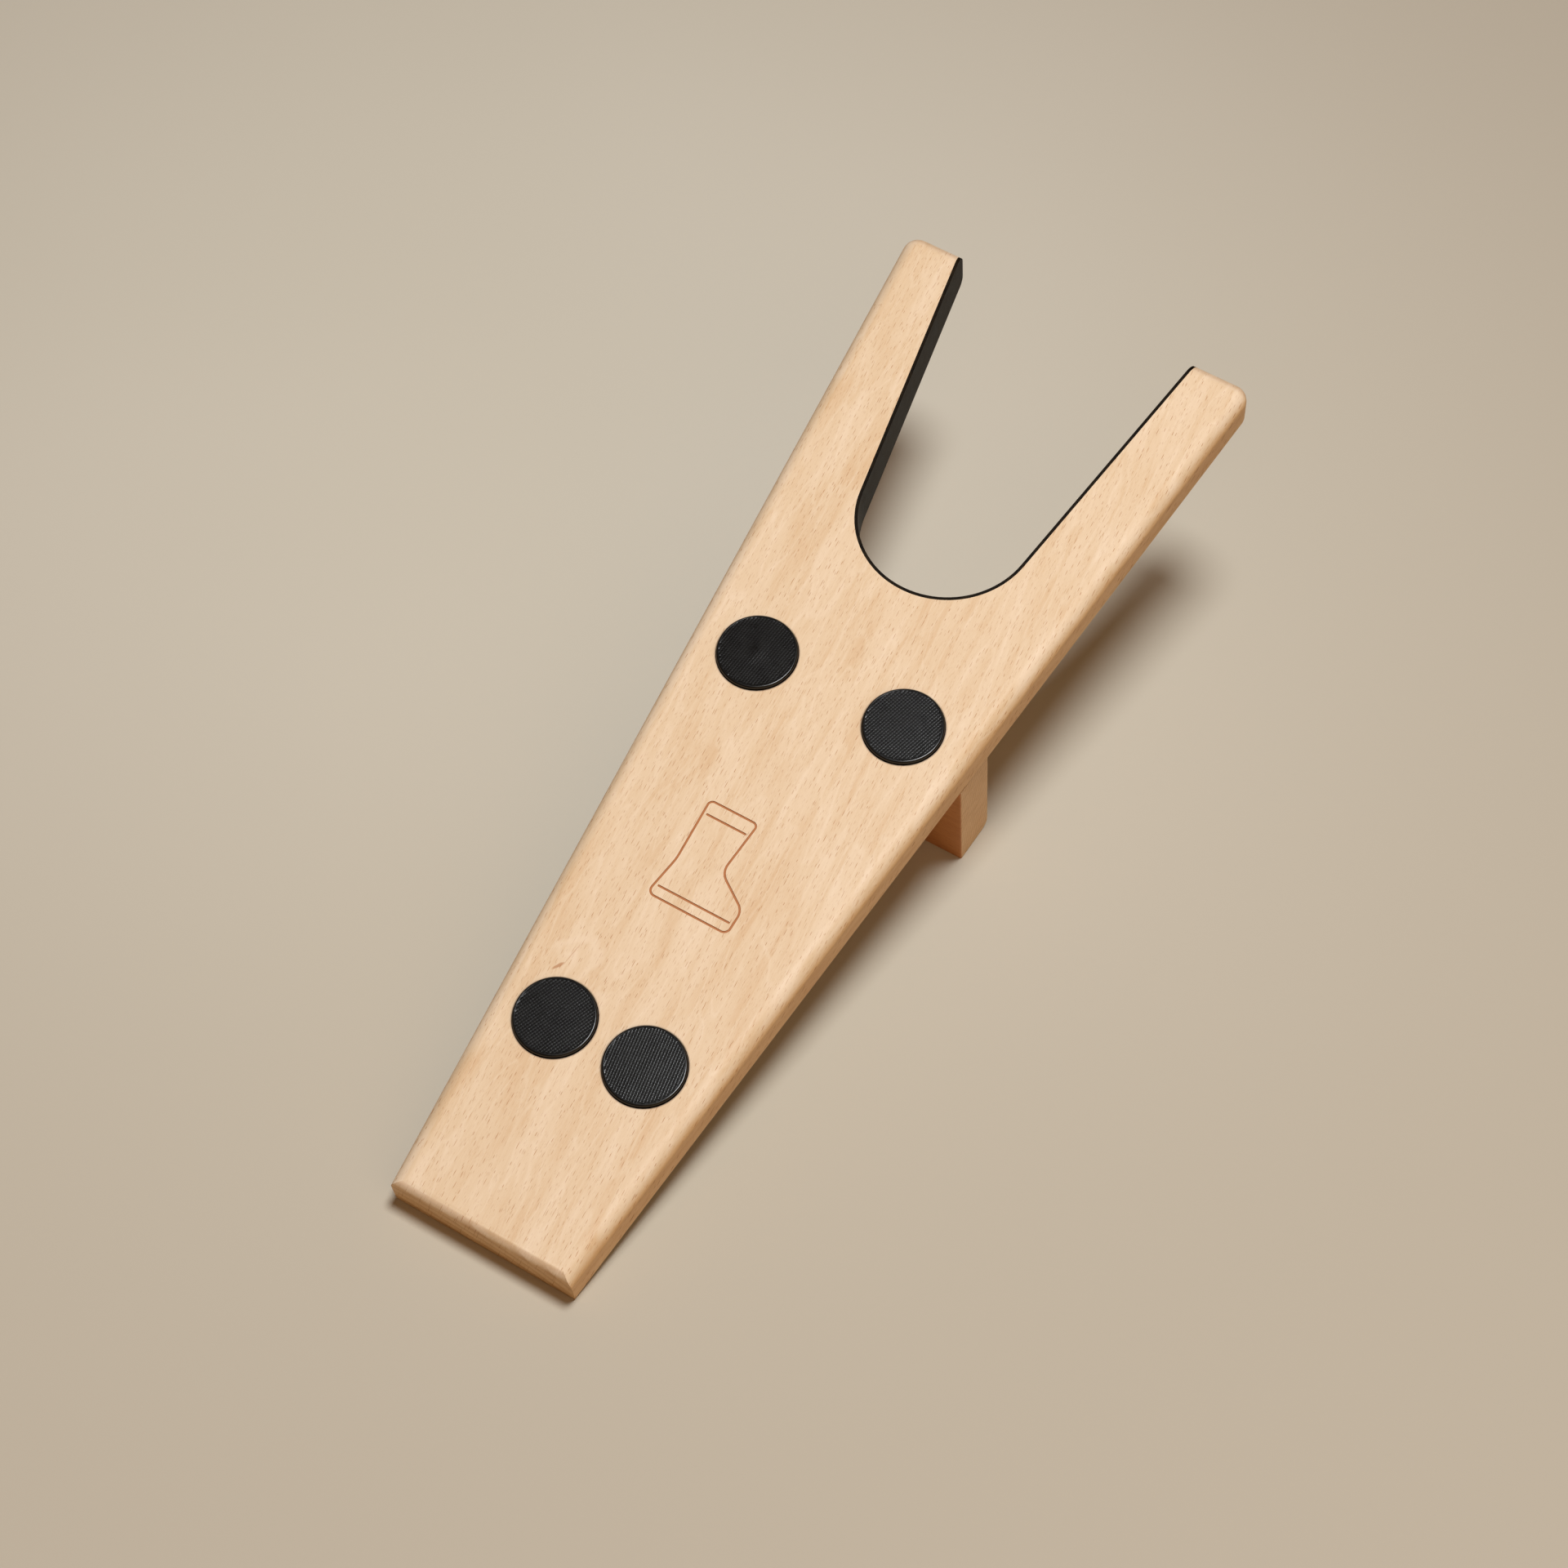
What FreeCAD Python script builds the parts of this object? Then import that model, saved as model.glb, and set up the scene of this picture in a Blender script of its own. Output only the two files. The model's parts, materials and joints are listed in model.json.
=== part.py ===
"""Boot jack: a sloping beech board with a lined heel fork, on a support block.

Everything is drawn in the board's own frame and then tipped up by the ramp angle:
X runs across the board, Y along it from the tail edge (0) to the fork tips, and Z is
square to it, with the board's upper face at 0. Sizes are in millimetres and degrees.
"""
import FreeCAD
import Part
import Sketcher
import math
import os

from FreeCAD import Placement, Rotation, Vector

# Driving dimensions: alias, value, what it is.
SIZES = (
    ("board_length", 345.0, "tail edge to fork tips, along the board"),
    ("tail_width", 59.8, "board width at the tail edge"),
    ("tail_shift", 0.6, "middle of the tail edge, to the right of the discs' middle line"),
    ("fork_width", 121.2, "board width across the fork tips"),
    ("board_thickness", 15.5, "planed beech board"),
    ("top_round", 4.8, "roundover on the upper long edges and the tips"),
    ("bottom_round", 2.5, "roundover on the lower long edges and the tips"),
    ("tail_round", 3.0, "roundover on the tail's upper edge"),
    ("tip_round", 5.0, "plan radius of the fork's outer corners"),
    ("foot_bevel", 4.0, "floor-parallel bevel under the tail, along the board"),
    ("ramp_angle", 14.0, "slope of the board when it stands"),
    ("notch_radius", 28.3, "heel notch's arc, in the wood"),
    ("notch_shift", 1.5, "heel notch's centre, to the right of the board's middle"),
    ("notch_station", 259.8, "heel notch's centre, from the tail edge"),
    ("flare_left", 10.3, "angle of the notch's left cheek to the board's length"),
    ("flare_right", 7.5, "angle of the notch's right cheek to the board's length"),
    ("liner_thickness", 1.0, "strip bonded round the notch"),
    ("disc_diameter", 24.4, "grip disc"),
    ("disc_thickness", 3.4, "grip disc, overall"),
    ("disc_shoulder", 0.9, "roundover on the disc's upper edge"),
    ("disc_rim", 0.8, "flat ring between the shoulder and the textured field"),
    ("field_depth", 0.3, "step down from the ring to the textured field"),
    ("recess_diameter", 25.0, "hole that a disc sits in"),
    ("recess_depth", 2.0, "hole that a disc sits in"),
    ("heel_disc_offset", 25.0, "upper pair of discs, each side of the middle"),
    ("heel_disc_station", 192.0, "upper pair of discs, from the tail edge"),
    ("toe_disc_offset", 15.0, "lower pair of discs, each side of the middle"),
    ("toe_disc_station", 64.0, "lower pair of discs, from the tail edge"),
    ("block_length", 93.4, "support block, across the board"),
    ("block_depth", 16.4, "support block, along the board"),
    ("block_station", 187.7, "block's front face, from the tail edge"),
    ("block_arris", 0.5, "softened edges of the block's ends"),
    ("block_back_round", 3.0, "rounding under the block's rear face"),
    ("screw_length", 40.0, "countersunk wood screw, overall"),
    ("head_diameter", 8.0, "screw head"),
    ("head_rim", 0.4, "straight edge of the screw head"),
    ("shank_diameter", 2.9, "smooth part of the screw"),
    ("thread_diameter", 4.0, "screw thread over its crests"),
    ("thread_core", 2.6, "screw thread at its roots"),
    ("thread_start", 14.0, "first turn of the thread, from the head's top"),
    ("thread_pitch", 1.8, "screw thread"),
    ("drive_width", 1.1, "arm width of the screw's cross drive"),
    ("drive_span", 4.0, "arm length of the screw's cross drive"),
    ("drive_depth", 1.6, "depth of the screw's cross drive"),
    ("clearance_diameter", 4.2, "screw hole through the board"),
    ("countersink_diameter", 9.0, "countersink for the screw head"),
    ("sign_station", 127.0, "middle of the engraved boot sign, from the tail edge"),
    ("sign_stroke", 0.7, "width of the sign's grooves"),
    ("sign_depth", 0.3, "depth of the sign's grooves"),
)
THREAD_TURNS = 12
COUNTERSINK_ANGLE = 90
# Pegs that the boot sign's outline runs round, anticlockwise from the heel: across and along
# from the sign's middle, radius, and 1 where the outline turns left or -1 where it turns right.
BOOT_PEGS = (
    (-10.5, -15.0, 2.0, 1),
    (12.0, -15.0, 2.0, 1),
    (9.5, -11.0, 4.5, 1),
    (8.0, 1.5, 5.0, -1),
    (2.5, 15.5, 1.5, 1),
    (-10.5, 15.5, 1.5, 1),
    (-29.0, -3.0, 18.0, -1),
)
BOOT_LINES = ((-10.9, 12.6, -13.6), (-10.5, 2.4, 12.6))  # sole and cuff: from, to, along
OVERRUN = 10  # how far a cut reaches past the wood
CLOSE = 1e-4  # two lengths nearer than this are the same
START, END, CENTRE = 1, 2, 3  # Sketcher's numbers for the points of a curve
ORIGIN = (-1, 1)  # Sketcher's number for a sketch's origin point

doc = FreeCAD.newDocument("boot_jack")
sheet = doc.addObject("Spreadsheet::Sheet", "sizes")
for row, (alias, value, note) in enumerate(SIZES, start=1):
    sheet.set(f"A{row}", alias)
    sheet.set(f"B{row}", str(value))
    sheet.set(f"C{row}", note)
    sheet.setAlias(f"B{row}", alias)
doc.recompute()

# Expressions on the sheet that more than one piece uses.
MOUTH = f"sizes.board_length + {OVERRUN}"
LINED_RADIUS = "sizes.notch_radius - sizes.liner_thickness"
DISC_TOP = "sizes.disc_thickness - sizes.recess_depth"
FIELD_RADIUS = "sizes.disc_diameter / 2 - sizes.disc_shoulder - sizes.disc_rim"
BLOCK_BACK = "(sizes.block_station + sizes.block_depth)"
SCREW_STATION = "(sizes.block_station + sizes.block_depth / 2)"
THREAD_END = f"sizes.thread_start + {THREAD_TURNS} * sizes.thread_pitch"


def worth(expression):
    """Number that an expression on the sheet comes to."""
    result = sheet.evalExpression(expression)
    return float(getattr(result, "Value", result))


def new_body(label):
    """Empty body, whose label names its file."""
    body = doc.addObject("PartDesign::Body", label)
    body.Label = label
    return body


def origin_feature(body, role):
    """One of a body's own planes."""
    return next(item for item in body.Origin.OriginFeatures if item.Role == role)


def new_sketch(body, name, plane="XY_Plane", offset=()):
    """Sketch on one of a body's own planes, shifted by expressions along the sketch's axes."""
    sketch = body.newObject("Sketcher::SketchObject", name)
    sketch.AttachmentSupport = [(origin_feature(body, plane), "")]
    sketch.MapMode = "FlatFace"
    for axis, expression in zip("xyz", offset):
        sketch.setExpression(f".AttachmentOffset.Base.{axis}", expression)
    return sketch


def drive(sketch, kind, *where, by):
    """Dimension that follows an expression on the sheet."""
    value = math.radians(worth(by)) if kind == "Angle" else worth(by)
    number = sketch.addConstraint(Sketcher.Constraint(kind, *where, value))
    sketch.renameConstraint(number, f"driven_{number}")
    unit = " * 1 deg" if kind == "Angle" else ""
    sketch.setExpression(f"Constraints.driven_{number}", f"({by}){unit}")


def pin_down(sketch, curve, point, across, along):
    """Fix a point of a curve by its distances from the sketch's origin."""
    drive(sketch, "DistanceX", *ORIGIN, curve, point, by=across)
    drive(sketch, "DistanceY", *ORIGIN, curve, point, by=along)


def join(sketch, chain, kinds=None):
    """Close a chain of curves end to start; kinds may make a joint tangent."""
    for index, curve in enumerate(chain):
        kind = "Coincident" if kinds is None else kinds[index]
        following = chain[(index + 1) % len(chain)]
        sketch.addConstraint(Sketcher.Constraint(kind, curve, END, following, START))


def draw_outline(sketch, corners):
    """Closed polygon through corners, each a pair of expressions."""
    points = [Vector(worth(across), worth(along), 0) for across, along in corners]
    ends = points[1:] + points[:1]
    chain = [sketch.addGeometry(Part.LineSegment(a, b)) for a, b in zip(points, ends)]
    join(sketch, chain)
    for line, (across, along) in zip(chain, corners):
        pin_down(sketch, line, START, across, along)


def draw_circles(sketch, centres, diameter):
    """Circles of one diameter about centres, each a pair of expressions."""
    for across, along in centres:
        middle = Vector(worth(across), worth(along), 0)
        ring = Part.Circle(middle, Vector(0, 0, 1), worth(diameter) / 2)
        curve = sketch.addGeometry(ring)
        pin_down(sketch, curve, CENTRE, across, along)
        drive(sketch, "Diameter", curve, by=diameter)


def draw_notch(sketch, radius, mouth):
    """Heel notch: an arc with two tangent cheeks, closed straight across at the mouth."""
    bend = worth(radius)
    left, right = math.radians(worth("sizes.flare_left")), math.radians(worth("sizes.flare_right"))
    centre = Vector(worth("sizes.notch_shift"), worth("sizes.notch_station"), 0)
    low_left = centre + Vector(-math.cos(left), -math.sin(left), 0) * bend
    low_right = centre + Vector(math.cos(right), -math.sin(right), 0) * bend
    rise_left, rise_right = worth(mouth) - low_left.y, worth(mouth) - low_right.y
    high_left = low_left + Vector(-math.tan(left), 1, 0) * rise_left
    high_right = low_right + Vector(math.tan(right), 1, 0) * rise_right
    circle = Part.Circle(centre, Vector(0, 0, 1), bend)
    curves = (
        Part.ArcOfCircle(circle, math.pi + left, 2 * math.pi - right),
        Part.LineSegment(low_right, high_right),
        Part.LineSegment(high_right, high_left),
        Part.LineSegment(high_left, low_left),
    )
    arc, right_cheek, closing, left_cheek = chain = [sketch.addGeometry(item) for item in curves]
    join(sketch, chain, ("Tangent", "Coincident", "Coincident", "Tangent"))
    sketch.addConstraint(Sketcher.Constraint("Horizontal", closing))
    pin_down(sketch, arc, CENTRE, "sizes.notch_shift", "sizes.notch_station")
    drive(sketch, "Radius", arc, by=radius)
    drive(sketch, "DistanceY", *ORIGIN, closing, START, by=mouth)
    drive(sketch, "Angle", right_cheek, by="90 - sizes.flare_right")
    drive(sketch, "Angle", left_cheek, by="sizes.flare_left - 90")


def draw_belt(sketch, pegs):
    """Closed outline drawn tight round pegs, anticlockwise.

    Each peg is three expressions, for its centre's distances from the sketch's origin and
    its radius, and a side: 1 where the outline turns left round it, -1 where it turns right.
    """
    centres = [Vector(worth(across), worth(along), 0) for across, along, _, _ in pegs]
    bends = [worth(radius) * side for _, _, radius, side in pegs]
    leaving, reaching = [], []
    for index, centre in enumerate(centres):
        following = (index + 1) % len(pegs)
        run = centres[following] - centre
        heading = math.atan2(run.y, run.x) + math.asin((bends[index] - bends[following]) / run.Length)
        square = Vector(-math.sin(heading), math.cos(heading), 0)
        leaving.append(centre - square * bends[index])
        reaching.append(centres[following] - square * bends[following])

    arcs, lines = [], []
    for index, centre in enumerate(centres):
        ends = [reaching[index - 1] - centre, leaving[index] - centre]
        first, last = (math.atan2(end.y, end.x) for end in (ends if bends[index] > 0 else ends[::-1]))
        ring = Part.Circle(centre, Vector(0, 0, 1), abs(bends[index]))
        last += 2 * math.pi if last < first else 0
        arcs.append(sketch.addGeometry(Part.ArcOfCircle(ring, first, last)))
        lines.append(sketch.addGeometry(Part.LineSegment(leaving[index], reaching[index])))
    for index, (across, along, radius, side) in enumerate(pegs):
        entry, exit_ = (START, END) if side > 0 else (END, START)
        sketch.addConstraint(Sketcher.Constraint("Tangent", lines[index - 1], END, arcs[index], entry))
        sketch.addConstraint(Sketcher.Constraint("Tangent", arcs[index], exit_, lines[index], START))
        pin_down(sketch, arcs[index], CENTRE, across, along)
        drive(sketch, "Radius", arcs[index], by=radius)


def pad(body, sketch, name, length, **options):
    """Pad of a driven length."""
    feature = body.newObject("PartDesign::Pad", name)
    feature.Profile = sketch
    for option, setting in options.items():
        setattr(feature, option, setting)
    feature.setExpression("Length", length)
    doc.recompute()
    return feature


def cut(body, kind, sketch, name, expressions=None, **options):
    """Pocket, Groove or Hole; stops if it takes nothing away."""
    doc.recompute()
    before = body.Shape.Volume
    feature = body.newObject(f"PartDesign::{kind}", name)
    feature.Profile = sketch
    for option, setting in options.items():
        setattr(feature, option, setting)
    for target, expression in (expressions or {}).items():
        feature.setExpression(target, expression)
    doc.recompute()
    if body.Shape.Volume > before - CLOSE:
        raise RuntimeError(f"{body.Label}: {name} cut nothing")
    return feature


def turn(body, sketch, name):
    """Solid of revolution about a sketch's vertical axis."""
    feature = body.newObject("PartDesign::Revolution", name)
    feature.Profile = sketch
    feature.ReferenceAxis = (sketch, ["V_Axis"])
    doc.recompute()
    return feature


def fillet(body, name, chosen, radius):
    """Fillet on the edges that a test picks out."""
    doc.recompute()
    base = body.Tip
    edges = [f"Edge{number}" for number, edge in enumerate(base.Shape.Edges, start=1) if chosen(edge)]
    if not edges:
        raise RuntimeError(f"{body.Label}: {name} has no edges")
    feature = body.newObject("PartDesign::Fillet", name)
    feature.Base = (base, edges)
    feature.setExpression("Radius", radius)
    doc.recompute()
    return feature


def middle(edge):
    """Point halfway along an edge."""
    return edge.valueAt(edge.getParameterByLength(edge.Length / 2))


def lies_at(edge, x=None, y=None, z=None):
    """Whether every end and the middle of an edge have the coordinates given."""
    points = [vertex.Point for vertex in edge.Vertexes] + [middle(edge)]
    wanted = [(axis, value) for axis, value in (("x", x), ("y", y), ("z", z)) if value is not None]
    return all(abs(getattr(point, axis) - value) < CLOSE for point in points for axis, value in wanted)


def stand(body, across="0", along="0", height="0"):
    """Place a body in the standing jack, its own origin at a point of the board's frame.

    The floor holds the bevelled foot of the tail, and the origin is on the floor
    under the middle of the jack's overall width and length.
    """
    ramp = math.radians(worth("sizes.ramp_angle"))
    foot = worth("sizes.board_thickness") - worth("sizes.foot_bevel") * math.tan(ramp)
    tail = worth("sizes.tail_round") * (math.cos(ramp) + math.sin(ramp) - 1)
    tip_along = worth("sizes.board_length - sizes.bottom_round") * math.cos(ramp)
    tip_below = worth("sizes.board_thickness - sizes.bottom_round") * math.sin(ramp)
    tip = tip_along + tip_below + worth("sizes.bottom_round")
    lift = Vector(0, -(tail + tip) / 2, foot * math.cos(ramp))
    tipped = Placement(lift, Rotation(Vector(1, 0, 0), worth("sizes.ramp_angle")))
    shift = Vector(worth(across), worth(along), worth(height))
    body.Placement = tipped.multiply(Placement(shift, Rotation()))


def make_board():
    """Tapered beech board with its fork, disc recesses and screw holes."""
    body = new_body("board")
    length, thickness = worth("sizes.board_length"), worth("sizes.board_thickness")
    half_fork = worth("sizes.fork_width / 2")

    plan = new_sketch(body, "board_plan")
    draw_outline(
        plan,
        (
            ("sizes.tail_shift - sizes.tail_width / 2", "0"),
            ("sizes.tail_shift + sizes.tail_width / 2", "0"),
            ("sizes.fork_width / 2", "sizes.board_length"),
            ("-sizes.fork_width / 2", "sizes.board_length"),
        ),
    )
    pad(body, plan, "plank", "sizes.board_thickness", Reversed=True)

    def tip_corner(edge):
        return lies_at(edge, x=half_fork, y=length) or lies_at(edge, x=-half_fork, y=length)

    fillet(body, "tip_corners", tip_corner, "sizes.tip_round")
    fillet(body, "upper_edges", lambda e: lies_at(e, z=0) and not lies_at(e, y=0), "sizes.top_round")
    fillet(
        body,
        "lower_edges",
        lambda e: lies_at(e, z=-thickness) and not lies_at(e, y=0),
        "sizes.bottom_round",
    )

    # The tail's roundover runs straight across, so it meets the long ones in mitres.
    corner = new_sketch(body, "tail_profile", "YZ_Plane")
    nose = worth("sizes.tail_round")
    ring = Part.Circle(Vector(nose, -nose, 0), Vector(0, 0, 1), nose)
    points = [Vector(0, -nose, 0), Vector(-OVERRUN, -nose, 0), Vector(-OVERRUN, OVERRUN, 0)]
    points += [Vector(nose, OVERRUN, 0), Vector(nose, 0, 0)]
    arc = corner.addGeometry(Part.ArcOfCircle(ring, math.pi / 2, math.pi))
    lines = [corner.addGeometry(Part.LineSegment(a, b)) for a, b in zip(points, points[1:])]
    join(corner, [arc] + lines)
    pin_down(corner, arc, CENTRE, "sizes.tail_round", "-sizes.tail_round")
    pin_down(corner, arc, START, "sizes.tail_round", "0")
    drive(corner, "DistanceY", *ORIGIN, arc, END, by="-sizes.tail_round")
    pin_down(corner, lines[0], END, f"-{OVERRUN}", "-sizes.tail_round")
    pin_down(corner, lines[2], START, f"-{OVERRUN}", f"{OVERRUN}")
    pin_down(corner, lines[2], END, "sizes.tail_round", f"{OVERRUN}")
    cut(body, "Pocket", corner, "tail_roundover", Type="ThroughAll", Midplane=True)

    wedge = new_sketch(body, "foot_profile", "YZ_Plane")
    rise = f"(sizes.foot_bevel + {OVERRUN}) * tan(sizes.ramp_angle * 1 deg)"
    draw_outline(
        wedge,
        (
            ("sizes.foot_bevel", "-sizes.board_thickness"),
            (f"-{OVERRUN}", f"-sizes.board_thickness + {rise}"),
            (f"-{OVERRUN}", "-sizes.board_thickness"),
        ),
    )
    cut(body, "Pocket", wedge, "tail_foot", Type="ThroughAll", Midplane=True)

    notch = new_sketch(body, "notch_plan")
    draw_notch(notch, "sizes.notch_radius", MOUTH)
    cut(body, "Pocket", notch, "heel_notch", Type="ThroughAll")

    recesses = new_sketch(body, "recess_plan")
    draw_circles(recesses, DISC_CENTRES.values(), "sizes.recess_diameter")
    cut(body, "Pocket", recesses, "disc_recesses", {"Length": "sizes.recess_depth"})

    screws = new_sketch(body, "screw_plan", offset=("0", "0", "-sizes.recess_depth"))
    draw_circles(screws, SCREW_CENTRES.values(), "sizes.clearance_diameter")
    cut(
        body,
        "Hole",
        screws,
        "screw_holes",
        {"Diameter": "sizes.clearance_diameter", "HoleCutDiameter": "sizes.countersink_diameter"},
        DepthType="ThroughAll",
        DrillPoint="Flat",
        HoleCutType="Countersink",
        HoleCutCountersinkAngle=COUNTERSINK_ANGLE,
    )

    # A boot in outline, with lines for its sole and cuff: each loop is half a stroke off
    # the outline, outside it and inside it.
    sign = new_sketch(body, "boot_sign")
    half_stroke = "sizes.sign_stroke / 2"
    for way in (1, -1):
        loop = []
        for across, along, radius, side in BOOT_PEGS:
            reach = f"{radius} + {side * way} * {half_stroke}"
            loop.append((str(across), f"sizes.sign_station + {along}", reach, side))
        draw_belt(sign, loop)
    for start, end, along in BOOT_LINES:
        ends = [(str(across), f"sizes.sign_station + {along}", half_stroke, 1) for across in (start, end)]
        draw_belt(sign, ends)
    cut(body, "Pocket", sign, "boot_sign_grooves", {"Length": "sizes.sign_depth"})
    stand(body)
    return body


def make_liner():
    """Thin strip round the inside of the heel notch, as deep as the board."""
    body = new_body("fork_liner")
    length, thickness = worth("sizes.board_length"), worth("sizes.board_thickness")
    outside = new_sketch(body, "liner_outside")
    draw_notch(outside, "sizes.notch_radius", "sizes.board_length")
    pad(body, outside, "liner_blank", "sizes.board_thickness", Reversed=True)
    inside = new_sketch(body, "liner_inside")
    draw_notch(inside, LINED_RADIUS, MOUTH)
    cut(body, "Pocket", inside, "liner_bore", Type="ThroughAll")
    fillet(body, "upper_tips", lambda e: lies_at(e, y=length, z=0), "sizes.top_round")
    fillet(body, "lower_tips", lambda e: lies_at(e, y=length, z=-thickness), "sizes.bottom_round")
    stand(body)
    return body


def make_disc(label, centre):
    """Rubber grip disc: a round shoulder, a flat ring and a slightly sunken field."""
    body = new_body(label)
    profile = new_sketch(body, f"{label}_profile", "XZ_Plane")
    draw_outline(
        profile,
        (
            ("0", "-sizes.recess_depth"),
            ("sizes.disc_diameter / 2", "-sizes.recess_depth"),
            ("sizes.disc_diameter / 2", DISC_TOP),
            (FIELD_RADIUS, DISC_TOP),
            (FIELD_RADIUS, f"{DISC_TOP} - sizes.field_depth"),
            ("0", f"{DISC_TOP} - sizes.field_depth"),
        ),
    )
    turn(body, profile, f"{label}_blank")
    brim = worth("sizes.disc_diameter / 2")
    top = worth(DISC_TOP)
    fillet(
        body,
        f"{label}_shoulder",
        lambda e: lies_at(e, z=top) and abs(middle(e).Length - math.hypot(brim, top)) < CLOSE,
        "sizes.disc_shoulder",
    )
    stand(body, *centre)
    return body


def thread_corners(drop):
    """Zigzag profile of the thread, from its first root to its last, lowered by drop."""
    corners = []
    for number in range(THREAD_TURNS):
        root = f"-{drop} - sizes.thread_start - {number} * sizes.thread_pitch"
        corners.append(("sizes.thread_core / 2", root))
        corners.append(("sizes.thread_diameter / 2", f"{root} - sizes.thread_pitch / 2"))
    corners.append(("sizes.thread_core / 2", f"-{drop} - ({THREAD_END})"))
    return corners


def make_block():
    """Support block across the underside, its foot cut parallel to the floor."""
    body = new_body("support_block")

    def foot(station):
        slope = f"(sizes.foot_bevel - {station}) * tan(sizes.ramp_angle * 1 deg)"
        return f"-sizes.board_thickness + {slope}"

    profile = new_sketch(body, "block_profile", "YZ_Plane")
    draw_outline(
        profile,
        (
            ("sizes.block_station", "-sizes.board_thickness"),
            ("sizes.block_station", foot("sizes.block_station")),
            (BLOCK_BACK, foot(BLOCK_BACK)),
            (BLOCK_BACK, "-sizes.board_thickness"),
        ),
    )
    pad(body, profile, "block_blank", "sizes.block_length", Midplane=True)
    back, heel = worth(BLOCK_BACK), worth(foot(BLOCK_BACK))
    fillet(body, "block_back_foot", lambda e: lies_at(e, y=back, z=heel), "sizes.block_back_round")

    end, seat = worth("sizes.block_length / 2"), -worth("sizes.board_thickness")

    def end_arris(edge):
        return (lies_at(edge, x=end) or lies_at(edge, x=-end)) and not lies_at(edge, z=seat)

    fillet(body, "block_arrises", end_arris, "sizes.block_arris")

    for side, (across, station) in SCREW_CENTRES.items():
        thread = new_sketch(body, f"thread_{side}", "XZ_Plane", (across, "0", f"-{station}"))
        above = f"{OVERRUN} - sizes.board_thickness"
        below = "-sizes.recess_depth - sizes.screw_length"
        corners = [("0", above), ("sizes.shank_diameter / 2", above)]
        corners.append(("sizes.shank_diameter / 2", "-sizes.recess_depth - sizes.thread_start"))
        corners += thread_corners("sizes.recess_depth")
        corners.append(("0", below))
        draw_outline(thread, corners)
        cut(body, "Groove", thread, f"screw_bore_{side}", ReferenceAxis=(thread, ["V_Axis"]))
    stand(body)
    return body


def make_screw(label, centre):
    """Countersunk wood screw with ring-shaped thread turns and a cross drive."""
    body = new_body(label)
    neck = "-sizes.head_rim - (sizes.head_diameter - sizes.shank_diameter) / 2"
    profile = new_sketch(body, f"{label}_profile", "XZ_Plane")
    corners = [
        ("0", "0"),
        ("sizes.head_diameter / 2", "0"),
        ("sizes.head_diameter / 2", "-sizes.head_rim"),
        ("sizes.shank_diameter / 2", neck),
        ("sizes.shank_diameter / 2", "-sizes.thread_start"),
    ]
    corners += thread_corners("0")
    corners.append(("0", "-sizes.screw_length"))
    draw_outline(profile, corners)
    turn(body, profile, f"{label}_blank")

    cross = new_sketch(body, f"{label}_cross")
    arm, edge = "sizes.drive_span / 2", "sizes.drive_width / 2"
    quadrants = (("", "", False), ("-", "", True), ("-", "-", False), ("", "-", True))
    corners = []
    for sign_x, sign_y, swapped in quadrants:
        trio = [(arm, edge), (edge, edge), (edge, arm)]
        trio = trio[::-1] if swapped else trio
        corners += [(sign_x + across, sign_y + along) for across, along in trio]
    draw_outline(cross, corners)
    cut(body, "Pocket", cross, f"{label}_drive", {"Length": "sizes.drive_depth"})
    stand(body, *centre, "-sizes.recess_depth")
    return body


DISC_CENTRES = {
    "grip_disc_heel_left": ("-sizes.heel_disc_offset", "sizes.heel_disc_station"),
    "grip_disc_heel_right": ("sizes.heel_disc_offset", "sizes.heel_disc_station"),
    "grip_disc_toe_left": ("-sizes.toe_disc_offset", "sizes.toe_disc_station"),
    "grip_disc_toe_right": ("sizes.toe_disc_offset", "sizes.toe_disc_station"),
}
SCREW_CENTRES = {
    "left": ("-sizes.heel_disc_offset", SCREW_STATION),
    "right": ("sizes.heel_disc_offset", SCREW_STATION),
}

bodies = [make_board(), make_liner(), make_block()]
bodies += [make_disc(label, centre) for label, centre in DISC_CENTRES.items()]
bodies += [make_screw(f"block_screw_{side}", centre) for side, centre in SCREW_CENTRES.items()]

doc.recompute()
failed = [item.Label for item in doc.Objects if {"Invalid", "Error"} & set(item.State)]
if failed:
    raise RuntimeError(f"features failed: {failed}")
os.makedirs("parts", exist_ok=True)
for body in bodies:
    shape = body.Shape
    if shape.isNull() or not shape.isValid() or len(shape.Solids) != 1:
        raise RuntimeError(f"{body.Label} isn't one valid solid")
    shape.exportStep(f"parts/{body.Label}.step")
    print(f"{body.Label}: {shape.Volume:.1f} mm3, {len(shape.Faces)} faces")
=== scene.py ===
"""Looks of a beech boot jack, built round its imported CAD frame.

The jack is a sloping board with a heel fork, lined with a thin strip, on a support block.
Four round rubber discs sit in recesses of the board. Lengths are in metres unless a name
says mm. The board's own frame has X across it, Y along it from the tail edge to the fork
tips, and Z square to it with the upper face at 0.
"""

import json
import logging
import math
from dataclasses import dataclass
from enum import Enum
from typing import Any, Mapping, Sequence

import bpy
import numpy as np
from mathutils import Matrix, Quaternion, Vector


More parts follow.
